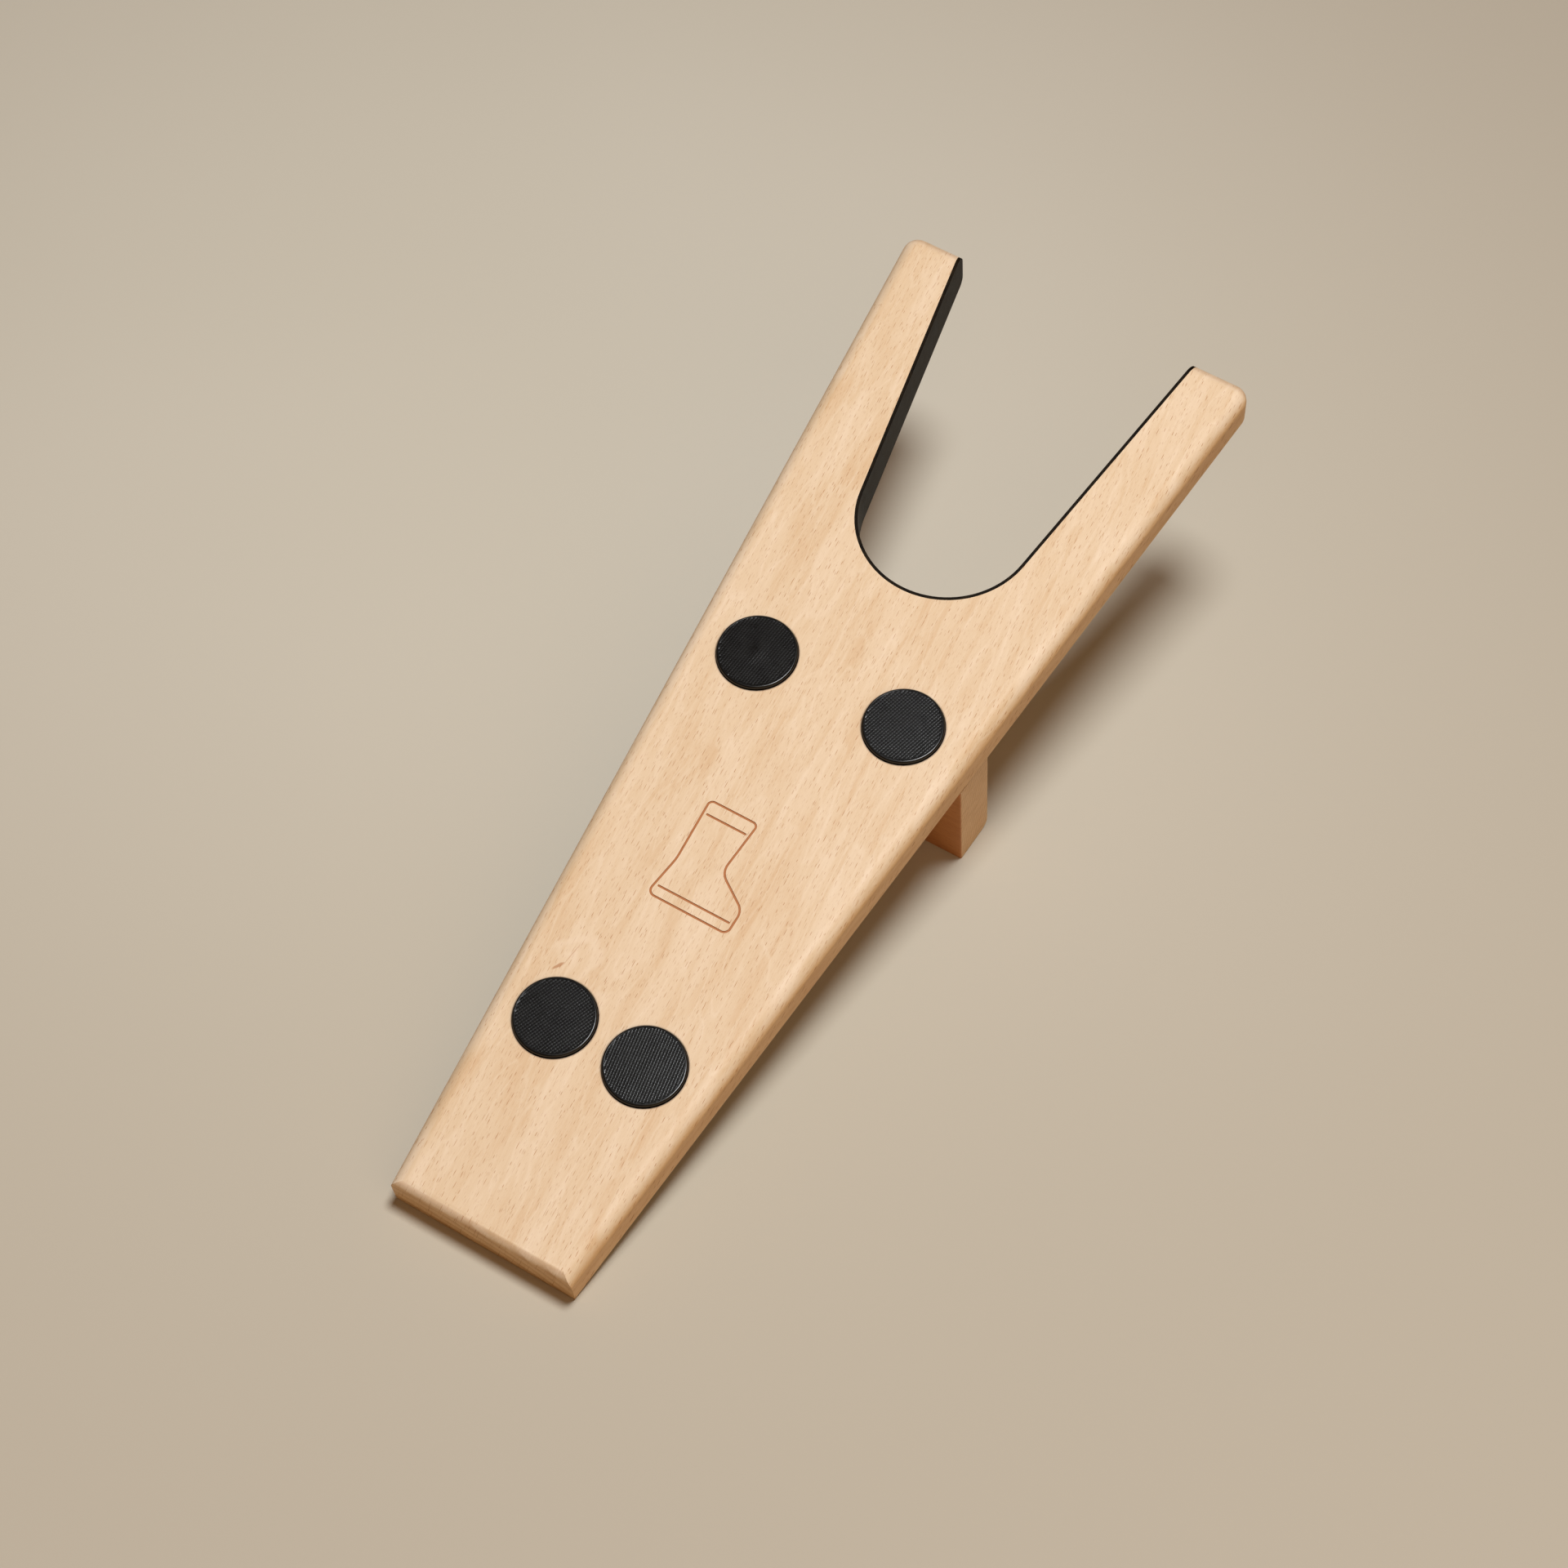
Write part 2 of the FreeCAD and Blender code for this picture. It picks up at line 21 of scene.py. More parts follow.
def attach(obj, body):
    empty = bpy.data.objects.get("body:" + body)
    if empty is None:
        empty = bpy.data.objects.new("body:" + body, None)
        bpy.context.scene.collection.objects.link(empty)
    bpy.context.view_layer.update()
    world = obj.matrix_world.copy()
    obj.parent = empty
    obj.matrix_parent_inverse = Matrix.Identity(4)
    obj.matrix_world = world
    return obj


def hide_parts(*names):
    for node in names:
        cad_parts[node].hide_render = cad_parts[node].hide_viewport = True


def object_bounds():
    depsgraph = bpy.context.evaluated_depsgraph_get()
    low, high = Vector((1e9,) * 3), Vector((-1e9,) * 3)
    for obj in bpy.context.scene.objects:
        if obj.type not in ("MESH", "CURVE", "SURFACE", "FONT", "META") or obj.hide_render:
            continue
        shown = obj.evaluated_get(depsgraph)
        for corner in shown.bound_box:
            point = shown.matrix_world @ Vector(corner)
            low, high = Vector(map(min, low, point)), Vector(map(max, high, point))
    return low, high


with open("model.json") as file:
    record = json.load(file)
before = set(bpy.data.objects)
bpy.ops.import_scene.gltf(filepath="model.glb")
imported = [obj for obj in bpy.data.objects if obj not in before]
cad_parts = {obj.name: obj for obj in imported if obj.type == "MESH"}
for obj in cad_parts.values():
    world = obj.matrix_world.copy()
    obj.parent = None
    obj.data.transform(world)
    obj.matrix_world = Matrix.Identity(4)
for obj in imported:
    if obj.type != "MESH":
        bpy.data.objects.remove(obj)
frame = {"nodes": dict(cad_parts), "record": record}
CAD_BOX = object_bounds()

MM = 0.001
ROOT = "root"
UP = Vector((0, 0, 1))
log = logging.getLogger("boot_jack")

Colour = tuple[float, float, float, float]


def shade(red: float, green: float, blue: float) -> Colour:
    """Surface colour from its screen values, by the sRGB curve.

    Args:
        red: Red, 0 to 255.
        green: Green, 0 to 255.
        blue: Blue, 0 to 255.

    Returns:
        The colour as linear light, with full alpha.
    """

    def linear(value: float) -> float:
        """Linear light of one screen value."""
        part = value / 255
        return part / 12.92 if part <= 0.04045 else ((part + 0.055) / 1.055) ** 2.4

    return (linear(red), linear(green), linear(blue), 1.0)


class Signal:
    """One output in a finish's node tree; arithmetic on numbers adds Math nodes."""

    def __init__(self, recipe: "Recipe", socket: bpy.types.NodeSocket) -> None:
        """Hold the tree that the output belongs to, and the output."""
        self.recipe = recipe
        self.socket = socket

    def maths(self, operation: str, *operands: "Signal | float") -> "Signal":
        """Math node of one operation on numbers."""
        return self.recipe.node("ShaderNodeMath", {"operation": operation}, dict(enumerate(operands)))

    def __add__(self, other: "Signal | float") -> "Signal":
        """Sum of two numbers."""
        return self.maths("ADD", self, other)

    def __sub__(self, other: "Signal | float") -> "Signal":
        """Difference of two numbers."""
        return self.maths("SUBTRACT", self, other)

    def __mul__(self, other: "Signal | float") -> "Signal":
        """Product of two numbers."""
        return self.maths("MULTIPLY", self, other)

    def __truediv__(self, other: "Signal | float") -> "Signal":
        """Quotient of two numbers."""
        return self.maths("DIVIDE", self, other)

    def __pow__(self, other: "Signal | float") -> "Signal":
        """Power of a number."""
        return self.maths("POWER", self, other)

    def __abs__(self) -> "Signal":
        """Size of a number, without its sign."""
        return self.maths("ABSOLUTE", self)

    __radd__ = __add__
    __rmul__ = __mul__

    def least(self, other: "Signal | float") -> "Signal":
        """Smaller of two numbers."""
        return self.maths("MINIMUM", self, other)

    def most(self, other: "Signal | float") -> "Signal":
        """Larger of two numbers."""
        return self.maths("MAXIMUM", self, other)

    def fraction(self) -> "Signal":
        """Part of a number after its decimal point."""
        return self.maths("FRACT", self)

    def rising(self, start: float, end: float) -> "Signal":
        """Smooth mask: 0 at start, 1 at end; start may be the larger of the two."""
        inputs = {"Value": self, "From Min": start, "From Max": end}
        return self.recipe.node("ShaderNodeMapRange", {"interpolation_type": "SMOOTHSTEP"}, inputs)

    def vector_maths(self, operation: str, other: Any, output: int = 0) -> "Signal":
        """Vector Math node of one operation on this vector and another."""
        inputs = {0: self, 1: other}
        return self.recipe.node("ShaderNodeVectorMath", {"operation": operation}, inputs, output)

    def stretched(self, across: float, along: float, up: float) -> "Signal":
        """Coordinates in which a pattern of unit size becomes this large on each axis."""
        return self.vector_maths("DIVIDE", (across, along, up))

    def along(self, direction: Sequence[float]) -> "Signal":
        """Distance of a point along a direction."""
        return self.vector_maths("DOT_PRODUCT", tuple(direction), 1)

    def axes(self) -> tuple["Signal", "Signal", "Signal"]:
        """The vector's three numbers."""
        node = self.recipe.tree.nodes.new("ShaderNodeSeparateXYZ")
        self.recipe.feed(node.inputs[0], self)
        return tuple(Signal(self.recipe, output) for output in node.outputs)


class Recipe:
    """Node tree of one material, around one Principled shader."""

    def __init__(self, name: str, constants: Mapping[str, Any]) -> None:
        """Start a material.

        Args:
            name: Name of the material.
            constants: Values of the shader's sockets that are the same all over.
        """
        self.material = bpy.data.materials.new(name)
        self.material.use_nodes = True
        self.tree = self.material.node_tree
        self.tree.nodes.clear()
        self.shader = self.tree.nodes.new("ShaderNodeBsdfPrincipled")
        output = self.tree.nodes.new("ShaderNodeOutputMaterial")
        self.tree.links.new(self.shader.outputs[0], output.inputs["Surface"])
        for socket, value in constants.items():
            self.shader.inputs[socket].default_value = value

    def feed(self, socket: bpy.types.NodeSocket, value: Any) -> None:
        """Link a signal to a socket, or set a plain value on it."""
        if isinstance(value, Signal):
            self.tree.links.new(value.socket, socket)
        else:
            socket.default_value = value

    def node(
        self,
        kind: str,
        settings: Mapping[str, Any] | None = None,
        inputs: Mapping[Any, Any] | None = None,
        output: int = 0,
    ) -> Signal:
        """Add a node.

        Args:
            kind: Type of the node.
            settings: Attributes, set first; "stops" are a ramp's positions and colours.
            inputs: Values or signals, by the socket's name or number.
            output: Number of the output to return.

        Returns:
            One output of the node.
        """
        made = self.tree.nodes.new(kind)
        for name, value in (settings or {}).items():
            if name == "stops":
                ramp = made.color_ramp
                while len(ramp.elements) < len(value):
                    ramp.elements.new(0.5)
                for element, (position, colour) in zip(ramp.elements, value):
                    element.position = position
                    element.color = colour
            else:
                setattr(made, name, value)
        for name, value in (inputs or {}).items():
            self.feed(made.inputs[name], value)
        return Signal(self, made.outputs[output])

    def points(self) -> Signal:
        """Object coordinates, in metres."""
        return self.node("ShaderNodeTexCoord", output=3)

    def normals(self) -> Signal:
        """Direction in which the surface faces."""
        return self.node("ShaderNodeTexCoord", output=1)

    def laid(self, origin: Vector, turn: Matrix) -> Signal:
        """Coordinates in millimetres in a frame with its own origin and turn."""
        inputs = {
            "Vector": self.points(),
            "Location": origin,
            "Rotation": turn.to_euler("XYZ"),
            "Scale": (MM, MM, MM),
        }
        return self.node("ShaderNodeMapping", {"vector_type": "TEXTURE"}, inputs)

    def noise(
        self, where: Signal, detail: float = 2.0, roughness: float = 0.5, swirl: float = 0.0
    ) -> Signal:
        """Soft noise of unit size, about 0.5.

        Args:
            where: Coordinates.
            detail: Octaves.
            roughness: Weight of each octave over the one before.
            swirl: How much the shapes bend.

        Returns:
            The noise, from 0 to 1.
        """
        inputs = {
            "Vector": where,
            "Scale": 1.0,
            "Detail": detail,
            "Roughness": roughness,
            "Distortion": swirl,
        }
        return self.node("ShaderNodeTexNoise", {"noise_dimensions": "3D"}, inputs)

    def blend(self, under: Any, over: Any, amount: Any, way: str = "MIX") -> Signal:
        """Colour laid over another colour by an amount from 0 to 1."""
        settings = {"data_type": "RGBA", "blend_type": way}
        return self.node("ShaderNodeMix", settings, {0: amount, 6: under, 7: over}, 2)

    def ramp(self, amount: Signal, stops: Sequence[tuple[float, Colour]]) -> Signal:
        """Colour that a number picks from a ramp."""
        return self.node("ShaderNodeValToRGB", {"stops": stops}, {0: amount})

    def finish(self, colour: Any, roughness: Any, height_mm: Signal, strength: float) -> bpy.types.Material:
        """Feed the shader and close the material.

        Args:
            colour: Base colour.
            roughness: Roughness.
            height_mm: Relief of the surface, in millimetres.
            strength: How much of the relief shows.

        Returns:
            The material.
        """
        inputs = {"Strength": strength, "Distance": MM, "Height": height_mm}
        self.feed(self.shader.inputs["Base Color"], colour)
        self.feed(self.shader.inputs["Roughness"], roughness)
        self.feed(self.shader.inputs["Normal"], self.node("ShaderNodeBump", inputs=inputs))
        return self.material


@dataclass(frozen=True)
class BoardFrame:
    """The board's own frame, found from the fork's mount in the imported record."""

    mount: str = "heel_fork"
    fork_across: float = 1.5 * MM
    fork_along: float = 259.8 * MM
    fork_below: float = 7.5 * MM

    def fork(self) -> dict[str, Any]:
        """The fork's mount: a point in the middle of the board, and the board's length axis."""
        return next(item for item in frame["record"]["mounts"] if item["name"] == self.mount)

    def slope(self) -> float:
        """Angle of the board to the floor."""
        return math.atan2(self.fork()["axis"][2], self.fork()["axis"][1])

    def turn(self) -> Matrix:
        """Turn from the board's frame to the row's."""
        return Matrix.Rotation(self.slope(), 3, "X")

    def origin(self) -> Vector:
        """Place of the board frame's origin, at the tail edge of the upper face."""
        inside = Vector((self.fork_across, self.fork_along, -self.fork_below))
        return Vector(self.fork()["pos_m"]) - self.turn() @ inside

    def lay(self, points: np.ndarray) -> np.ndarray:
        """Points of the board's frame, moved to the row's frame."""
        return points @ np.array(self.turn()).T + np.array(self.origin())

    def read(self, node: str) -> np.ndarray:
        """Corners of a CAD node's mesh, in the board's frame."""
        mesh = frame["nodes"][node].data
        flat = np.empty(3 * len(mesh.vertices), dtype=np.float32)
        mesh.vertices.foreach_get("co", flat)
        return (flat.reshape(-1, 3) - np.array(self.origin())) @ np.array(self.turn())


BOARD = BoardFrame()


@dataclass(frozen=True)
class DiscSeat:
    """Where a grip disc sits in the board, read from its CAD node."""

    centre: tuple[float, float]
    radius: float
    foot: float
    top: float

    @classmethod
    def of(cls, node: str) -> "DiscSeat":
        """Seat of one disc node."""
        corners = BOARD.read(node)
        low, high = corners.min(axis=0).tolist(), corners.max(axis=0).tolist()
        middle = ((low[0] + high[0]) / 2, (low[1] + high[1]) / 2)
        return cls(middle, (high[0] - low[0]) / 2, low[2], high[2])


class Disc(Enum):
    """The four grip discs: node name, turn of the texture in degrees, swelling in the middle."""

    HEEL_LEFT = ("grip_disc_heel_left", 83.0, 0.09)
    HEEL_RIGHT = ("grip_disc_heel_right", 74.0, 0.0)
    TOE_LEFT = ("grip_disc_toe_left", 157.0, 0.0)
    TOE_RIGHT = ("grip_disc_toe_right", 99.0, 0.0)


class Sawn(Enum):
    """How a piece of wood is cut: grain turned from the board's length, and tilt of its rings."""

    BOARD = (5.0, 14.0)
    BLOCK = (-90.0, 74.0)


@dataclass(frozen=True)
class SolidBeech:
    """Beech as a solid pattern: rings round a far pith, fibres, and rays that show as flecks."""

    name: str
    sawn: Sawn
    pale: Colour = shade(228, 205, 176)
    even: Colour = shade(218, 191, 156)
    deep: Colour = shade(206, 169, 126)
    # Real end grain is darker; on the sloping roundovers at the grain's ends this tint is also painted
    # shade.
    fleck: Colour = shade(172, 120, 76)
    end_grain_and_slope_shade_tint: Colour = shade(196, 158, 118)
    # Painted shade: the two tints below multiply the faces that do not face up; on end faces it is also end
    # grain's own warmth.
    end_warmth_and_shade_tint: Colour = shade(255, 236, 204)
    shaded_side_tint: Colour = shade(255, 233, 198)
    scorch: Colour = shade(172, 106, 50)
    heartwood: Colour = shade(172, 116, 68)
    # Char: the burnt floor of the sign's grooves, and burn with painted shade in the disc recesses.
    char_and_recess_shade: Colour = shade(62, 32, 18)
    pith_mm: float = 85.0
    ring_mm: float = 4.2
    ray_mm: float = 1.32
    speck_mm: float = 0.85
    speck_shift_mm: tuple[float, float, float] = (31.0, 57.0, 13.0)
    ray_share: float = 0.85
    scorched: bool = False
    sign_station_mm: float = 127.0
    sign_reach_mm: tuple[float, float] = (19.5, 22.0)
    # Dark ring round each recess: burnt rim and painted shade.
    rim_burn_and_shade_radius_mm: float = 12.95
    knot_mm: tuple[float, float] = (-22.8, 78.0)
    knot_turn: float = -31.0
    curl_mm: float = 4.2

    def grain(self, recipe: Recipe) -> Signal:
        """Coordinates with Y along the grain and Z out of the board's face."""
        skew = Matrix.Rotation(math.radians(self.sawn.value[0]), 3, "Z")
        return recipe.laid(BOARD.origin(), BOARD.turn() @ skew)

    def rings(self, recipe: Recipe, where: Signal) -> tuple[Signal, Signal]:
        """Year rings: distance from the pith, less the pith's depth, over a ring's width.

        Args:
            recipe: The material's tree.
            where: Grain coordinates.

        Returns:
            The dark late edge of each ring, 0 to 1, and slow changes from ring to ring.
        """
        tilt = math.radians(self.sawn.value[1])
        out = where.along((math.sin(tilt), 0, math.cos(tilt))) + self.pith_mm
        side = where.along((math.cos(tilt), 0, -math.sin(tilt)))
        sway = (recipe.noise(where.stretched(26, 130, 26)) - 0.5) * 5.0
        wave = (recipe.noise(where.stretched(7, 34, 7), 3) - 0.5) * 1.1
        ring = ((out**2 + side**2) ** 0.5 + sway + wave) / self.ring_mm
        turn = ring.fraction()
        late = turn.rising(0.35, 0.93) * turn.rising(1.0, 0.93)
        slow = recipe.noise(recipe.node("ShaderNodeCombineXYZ", inputs={0: ring * 0.45}), 1)
        return late, slow

    def flecks(self, recipe: Recipe, where: Signal, size: float) -> Signal:
        """Rays: one lens-shaped sheet in each cell of a stretched Voronoi pattern.

        A point is inside a ray when the sum of the squares of its distances from the
        ray's middle, each over the ray's reach on that axis, is under one.

        Args:
            recipe: The material's tree.
            where: Grain coordinates.
            size: Length of a cell across the grain, in millimetres.

        Returns:
            Mask of the rays, 0 to 1.
        """
        tilt = math.radians(self.sawn.value[1])
        cell = recipe.node(
            "ShaderNodeCombineXYZ",
            inputs={
                0: where.along((math.cos(tilt) / size, 0, -math.sin(tilt) / size)),
                1: where.along((0, 1 / (2.6 * size), 0)),
                2: where.along((math.sin(tilt) / 9, 0, math.cos(tilt) / 9)),
            },
        )
        inputs = {"Vector": cell, "Scale": 1.0, "Randomness": 1.0}
        middle = recipe.node("ShaderNodeTexVoronoi", {"feature": "F1"}, inputs, 2)
        chance = recipe.node("ShaderNodeTexVoronoi", {"feature": "F1"}, inputs, 1)
        pick, length, weight = chance.axes()
        across, along, out = cell.vector_maths("SUBTRACT", middle).axes()
        reach = (across / 0.082) ** 2 + (along / (0.16 + length * 0.3)) ** 2 + (out / 0.62) ** 2
        chosen = pick.rising(self.ray_share + 0.02, self.ray_share - 0.02)
        return reach.rising(1.1, 0.3) * chosen * (0.35 + weight * 0.65)

    def burns_and_recess_shade(self, recipe: Recipe) -> tuple[Signal, Signal]:
        """Where tools have burnt the board, and where shade is painted in the disc recesses and round their
        rims.

        Returns:
            The sign's grooves, and the walls and rims of the disc recesses.
        """
        across, along, up = recipe.laid(BOARD.origin(), BOARD.turn()).axes()
        sunk = up.rising(-0.05, -0.2)
        wide, long = self.sign_reach_mm
        within = abs(along - self.sign_station_mm).rising(long, long - 0.5)
        sign = sunk * abs(across).rising(wide, wide - 0.5) * within
        nearest = None
        for disc in (Disc.HEEL_RIGHT, Disc.TOE_RIGHT):
            seat = DiscSeat.of(disc.value[0])
            dx = abs(across) - seat.centre[0] / MM
            dy = along - seat.centre[1] / MM
            distance = (dx**2 + dy**2) ** 0.5
            nearest = distance if nearest is None else nearest.least(distance)
        # Recess walls and the ring round each recess: burn, with painted shade in the hollow and at its
        # rim.
        recess = sunk * nearest.rising(13.2, 13.0)
        rim = nearest.rising(self.rim_burn_and_shade_radius_mm, self.rim_burn_and_shade_radius_mm - 0.45) * 0.55
        return sign, recess.most(rim)

    def knot(self, recipe: Recipe) -> tuple[Signal, Signal]:
        """A pin knot near the tail, with the grain curling round it.

        Rings lie round the knot at even steps of a stretched distance, and fade with it.

        Returns:
            The pale curls, and the brown heart with the fine line that leads to it, 0 to 1.
        """
        turn = BOARD.turn() @ Matrix.Rotation(math.radians(self.knot_turn), 3, "Z")
        place = BOARD.origin() + BOARD.turn() @ (Vector((*self.knot_mm, 0)) * MM)
        where = recipe.laid(place, turn)
        bend = (recipe.noise(where.stretched(6, 9, 6), 2) - 0.5) * 5.0
        across, along, _ = where.axes()
        away = ((across / 1.0) ** 2 + (along / 1.9) ** 2) ** 0.5 + bend
        curl = (away / self.curl_mm).fraction()
        near = away.rising(12.5, 6.0) * along.rising(-2.0, 6.0)
        curl = curl.rising(0.1, 0.6) * curl.rising(1.0, 0.6) * near
        fine = (recipe.noise(where.stretched(0.7, 2.2, 0.7), 2) - 0.5) * 1.2
        heart = ((across + fine * 0.4) / 0.55) ** 2 + (along / 2.3) ** 2
        line = ((across + fine * 0.3 + (along - 2.3) * 0.45) / 0.22) ** 2 + ((along - 5.3) / 3.6) ** 2
        heart = heart.rising(1.2, 0.2)
        mark = heart.most(line.rising(1.1, 0.3) * 0.55)
        return curl, mark * 0.75

    def make(self) -> bpy.types.Material:
        """The finished material."""
        recipe = Recipe(self.name, {"Specular IOR Level": 0.32})
        where = self.grain(recipe)
        late, slow = self.rings(recipe, where)
        broad = recipe.noise(where.stretched(10, 34, 10), 2, 0.5, 0.5)
        streak = recipe.noise(where.stretched(1.5, 17, 1.5), 3, 0.6, 0.35)
        fibre = recipe.noise(where.stretched(0.26, 3.6, 0.26), 2, 0.6)
        satin = abs(recipe.noise(where.stretched(5.5, 34, 5.5), 2, 0.5, 0.6) - 0.5).rising(0.05, 0.0)
        facing = abs(recipe.normals().along(BOARD.turn() @ self.grain_axis()))
        slant, end = facing.rising(0.12, 0.6), facing.rising(0.55, 0.95)
        upright = abs(recipe.normals().along(BOARD.turn() @ UP))
        # Painted sheen: the rounded edges are lightened in streaks of the broad tone.
        roundover_sheen = upright.rising(1.0, 0.94) * upright.rising(0.55, 0.8) * (broad - 0.36).rising(0.0, 0.2)
        tone = 0.52 + (broad - 0.5) * 0.5 + (streak - 0.5) * 0.36 + (slow - 0.5) * 0.25 - late * 0.1
        tone = tone + (fibre - 0.5) * 0.26 + satin * 0.11 + roundover_sheen * 0.16
        colour = recipe.ramp(tone, ((0.2, self.deep), (0.48, self.even), (0.78, self.pale)))
        rays = self.flecks(recipe, where, self.ray_mm)
        specks = self.flecks(recipe, where.vector_maths("ADD", self.speck_shift_mm), self.speck_mm)
        dark = (rays * 0.85 + specks * 0.45).least(1.0)
        colour = recipe.blend(colour, self.fleck, dark)
        # End faces get the darker ring lines of real end grain; the sloping roundovers at the grain's ends
        # get painted shade.
        cut = slant * 0.3 - end * 0.3 + end * late * 0.26
        colour = recipe.blend(colour, self.end_grain_and_slope_shade_tint, cut, "MULTIPLY")
        # Painted shade: faces that do not face up are multiplied darker and warmer, end faces partly for
        # end grain's own warmth.
        side = upright.rising(0.75, 0.1)
        colour = recipe.blend(colour, recipe.blend(self.shaded_side_tint, self.end_warmth_and_shade_tint, end), side, "MULTIPLY")
        height = (fibre - 0.5) * 0.03 - dark * 0.02 - late * 0.006
        if self.scorched:
            sign, recess = self.burns_and_recess_shade(recipe)
            curl, heart = self.knot(recipe)
            colour = recipe.blend(colour, self.pale, curl.rising(0.1, 1.0) * 0.5)
            colour = recipe.blend(colour, self.heartwood, heart)
            burn = recipe.blend(self.scorch, self.char_and_recess_shade, (fibre - 0.42).rising(0.0, 0.3) * 0.2)
            colour = recipe.blend(colour, burn, sign)
            # Burn and painted shade in the disc recesses and round their rims.
            colour = recipe.blend(colour, self.char_and_recess_shade, recess)
        roughness = 0.5 + (streak - 0.5) * 0.16 + dark * 0.12
        return recipe.finish(colour, roughness, height, 0.6)

    def grain_axis(self) -> Vector:
        """Direction of the grain in the board's frame."""
        return Matrix.Rotation(math.radians(self.sawn.value[0]), 3, "Z") @ Vector((0, 1, 0))


@dataclass(frozen=True)
class Rubber:
    """Dark rubber with a faint bloom and a fine skin; below face_mm its pits get painted shade."""

    name: str
    body: Colour
    bloom: Colour
    roughness: float
    skin_mm: float
    gloss: float
    face_mm: float | None = None
    coat: float = 0.0
    pit_shade_tint: Colour = shade(96, 96, 96)

    def make(self) -> bpy.types.Material:
        """The finished material."""
        constants = {"Specular IOR Level": self.gloss, "Coat Weight": self.coat, "Coat Roughness": 0.12}
        recipe = Recipe(self.name, constants)
        where = recipe.laid(BOARD.origin(), BOARD.turn())
        cloud = recipe.noise(where.stretched(3.5, 3.5, 3.5), 3)
        skin = recipe.noise(where.stretched(0.16, 0.16, 0.16), 2)
        colour = recipe.blend(self.body, self.bloom, cloud.rising(0.3, 0.75))
        if self.face_mm is not None:
            # Painted shade: the pits below the face are darkened.
            low = where.axes()[2].rising(self.face_mm - 0.09, self.face_mm - 0.2)
            colour = recipe.blend(colour, self.pit_shade_tint, low, "MULTIPLY")
        roughness = self.roughness + (cloud - 0.5) * 0.15
        return recipe.finish(colour, roughness, (skin - 0.5) * self.skin_mm, 0.7)


@dataclass(frozen=True)
class ZincSteel:
    """Yellow-passivated zinc on steel."""

    name: str
    pale: Colour = shade(214, 203, 170)
    deep: Colour = shade(176, 158, 112)

    def make(self) -> bpy.types.Material:
        """The finished material."""
        recipe = Recipe(self.name, {"Metallic": 1.0})
        where = recipe.laid(BOARD.origin(), BOARD.turn())
        cloud = recipe.noise(where.stretched(2.2, 2.2, 2.2), 3)
        scratch = recipe.noise(where.stretched(0.15, 0.15, 2.5), 2)
        colour = recipe.blend(self.deep, self.pale, cloud.rising(0.3, 0.7))
        return recipe.finish(colour, 0.28 + scratch * 0.2, (scratch - 0.5) * 0.01, 0.5)


@dataclass(frozen=True)
class Paper:
    """Seamless backdrop paper, matt, with the faintest mottle, and painted light: paler near its lit spot.
    """

    name: str = "backdrop_paper"
    tone: Colour = shade(198, 192, 177)
    mottle: Colour = shade(195, 189, 173)
    dim: Colour = shade(182, 173, 156)
    lit_spot: tuple[float, float, float] = (-0.2, 0.15, 0.0)

    def make(self) -> bpy.types.Material:
        """The finished material."""
        recipe = Recipe(self.name, {"Specular IOR Level": 0.2})
        where = recipe.points()
        cloud = recipe.noise(where.stretched(0.35, 0.35, 0.35), 2)
        tooth = recipe.noise(where.stretched(0.0006, 0.0006, 0.0006), 2)
        colour = recipe.blend(self.tone, self.mottle, cloud.rising(0.3, 0.7))
        # Painted light falloff: the paper grows dimmer away from the lit spot.
        away = where.vector_maths("DISTANCE", self.lit_spot, 1)
        colour = recipe.blend(colour, self.dim, away.rising(0.06, 0.48))
        return recipe.finish(colour, 0.85, (tooth - 0.5) * 0.02, 0.3)


def new_piece(name: str, points: np.ndarray, faces: np.ndarray, crease: float = 30.0) -> bpy.types.Object:
    """Mesh object from arrays.

    Args:
        name: Name of the piece.
        points: Corners, one row each, in metres in the row's frame.
        faces: Corner numbers of four-sided faces; a triangle repeats its last corner.
        crease: Edges that turn by more than this many degrees stay sharp.

    Returns:
        The object, at the origin, with smooth shading.
    """
    rows = [row[: 3 if row[2] == row[3] else 4] for row in faces.tolist()]
    mesh = bpy.data.meshes.new(name)
    mesh.from_pydata(points, [], rows)
    mesh.validate()
    mesh.shade_smooth()
    mesh.set_sharp_from_angle(angle=math.radians(crease))
    piece = bpy.data.objects.new(name, mesh)
    bpy.context.scene.collection.objects.link(piece)
    return piece


